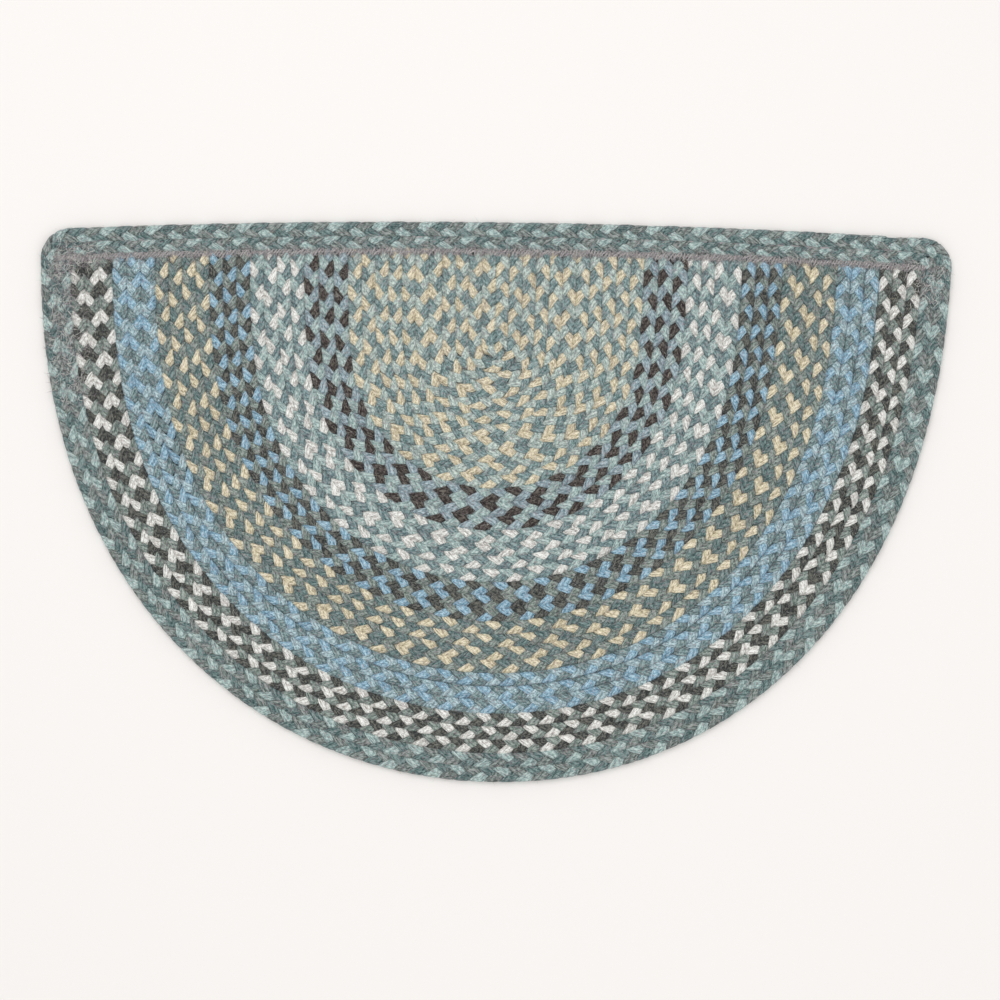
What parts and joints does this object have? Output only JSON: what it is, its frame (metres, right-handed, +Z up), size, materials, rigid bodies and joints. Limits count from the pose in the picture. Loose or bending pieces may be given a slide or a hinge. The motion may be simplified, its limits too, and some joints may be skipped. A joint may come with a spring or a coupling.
{
  "type": "braided jute doormat",
  "caption": "Flat half-round doormat of laced jute braids in nested U-shaped colour bands, with a braided border all round.",
  "frame": {"origin": "on the floor under the middle of the mat's bounding box", "axes": "+X along the straight edge, +Y from the round edge towards the straight edge, +Z up out of the walking face"},
  "size_m": [0.7326, 0.449, 0.0085],
  "materials": {
    "centre_braid": "matt three-strand jute braid in straw, pale aqua and teal",
    "brown_braid": "matt three-strand jute braid in dark brown and pale blue",
    "white_braid": "matt three-strand jute braid in off-white, aqua and teal",
    "charcoal_braid": "matt three-strand jute braid in charcoal, sky blue and grey-green",
    "straw_braid": "matt three-strand jute braid in straw, teal and dark teal",
    "blue_braid": "matt three-strand jute braid in sky blue, aqua and teal",
    "black_white_braid": "matt three-strand jute braid in off-white, charcoal and grey-green",
    "border_braid": "matt three-strand jute braid in teal tones, heathered"
  },
  "bodies": {
    "root": {"field_centre": "centre_braid", "band_brown": "brown_braid", "band_white": "white_braid", "band_charcoal": "charcoal_braid", "band_straw": "straw_braid", "band_blue": "blue_braid", "band_black_white": "black_white_braid", "border_inner": "border_braid", "border_outer": "border_braid"}
  },
  "joints": []
}
